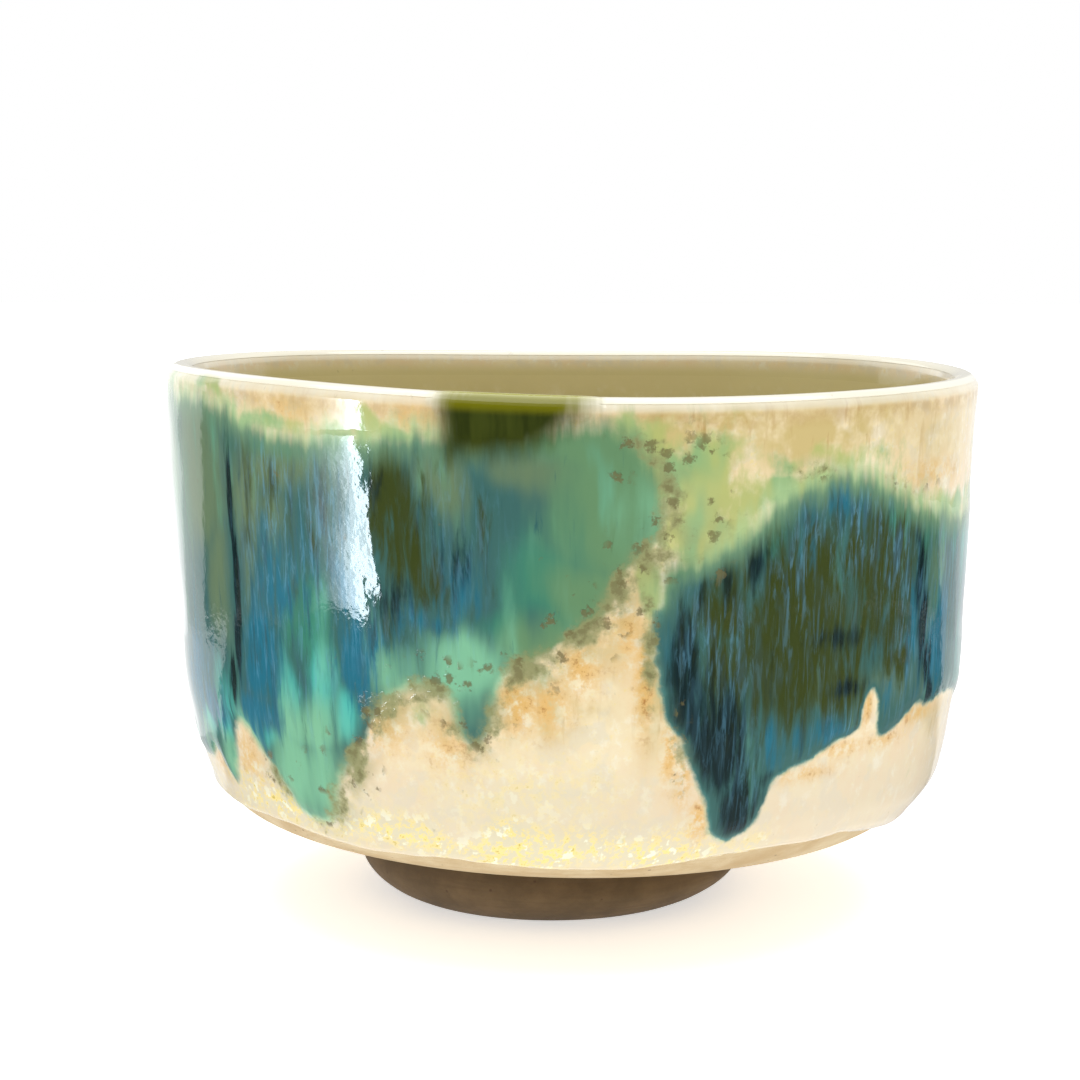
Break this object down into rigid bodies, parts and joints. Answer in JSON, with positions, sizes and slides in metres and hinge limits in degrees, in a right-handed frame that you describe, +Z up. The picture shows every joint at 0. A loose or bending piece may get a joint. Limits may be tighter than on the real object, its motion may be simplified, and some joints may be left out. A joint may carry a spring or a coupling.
{
  "type": "matcha bowl",
  "caption": "Handmade stoneware tea bowl with a straight wall, a rounded hip and a small foot ring, cream glazed with darker glaze poured from the rim.",
  "frame": {"origin": "on the table plane, below the middle of the bowl's extent", "axes": "+Z up through the open mouth, -Y towards the front, where the two front pours nearly meet"},
  "size_m": [0.1204, 0.1218, 0.0799],
  "materials": {
    "bare_clay": "matte",
    "cream_glaze": "gloss",
    "poured_glaze": "gloss",
    "olive_glaze": "gloss"
  },
  "bodies": {
    "root": {"clay_body": "bare_clay", "foot_ring": "bare_clay", "inside_glaze": "cream_glaze", "outside_glaze": "cream_glaze", "left_pour": "poured_glaze", "right_pour": "poured_glaze", "back_pour": "poured_glaze", "rim_splash": "olive_glaze"}
  },
  "joints": []
}
